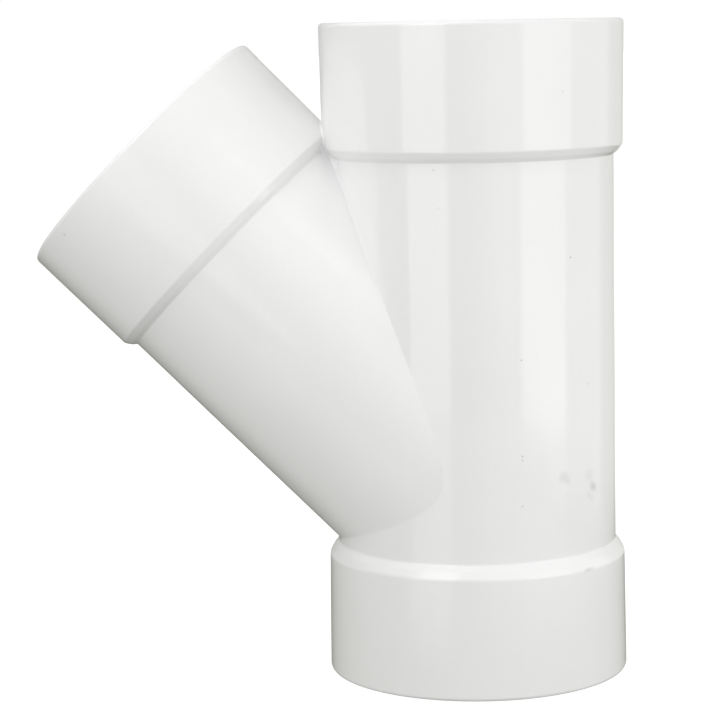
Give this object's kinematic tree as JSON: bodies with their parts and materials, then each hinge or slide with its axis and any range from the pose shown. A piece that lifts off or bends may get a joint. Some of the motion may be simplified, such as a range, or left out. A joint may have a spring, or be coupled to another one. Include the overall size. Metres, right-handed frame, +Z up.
{
  "type": "lateral wye pipe fitting",
  "caption": "White moulded drain pipe fitting: a straight run with a hub at each end and a 45 degree branch with its own hub, for joining plain pipe ends.",
  "frame": {"origin": "centre of the lower socket's mouth, in the plane of the rim that the fitting stands on", "axes": "+Z up the axis of the run; the branch lies in the XZ plane and leaves upwards, towards -X, at 45 degrees; the seam plane of the mould is Y = 0"},
  "size_m": [0.2243, 0.1145, 0.2476],
  "materials": {
    "white_pvc": "moulded gloss, lightly scuffed"
  },
  "bodies": {
    "root": {"wye_fitting": "white_pvc"}
  },
  "joints": []
}
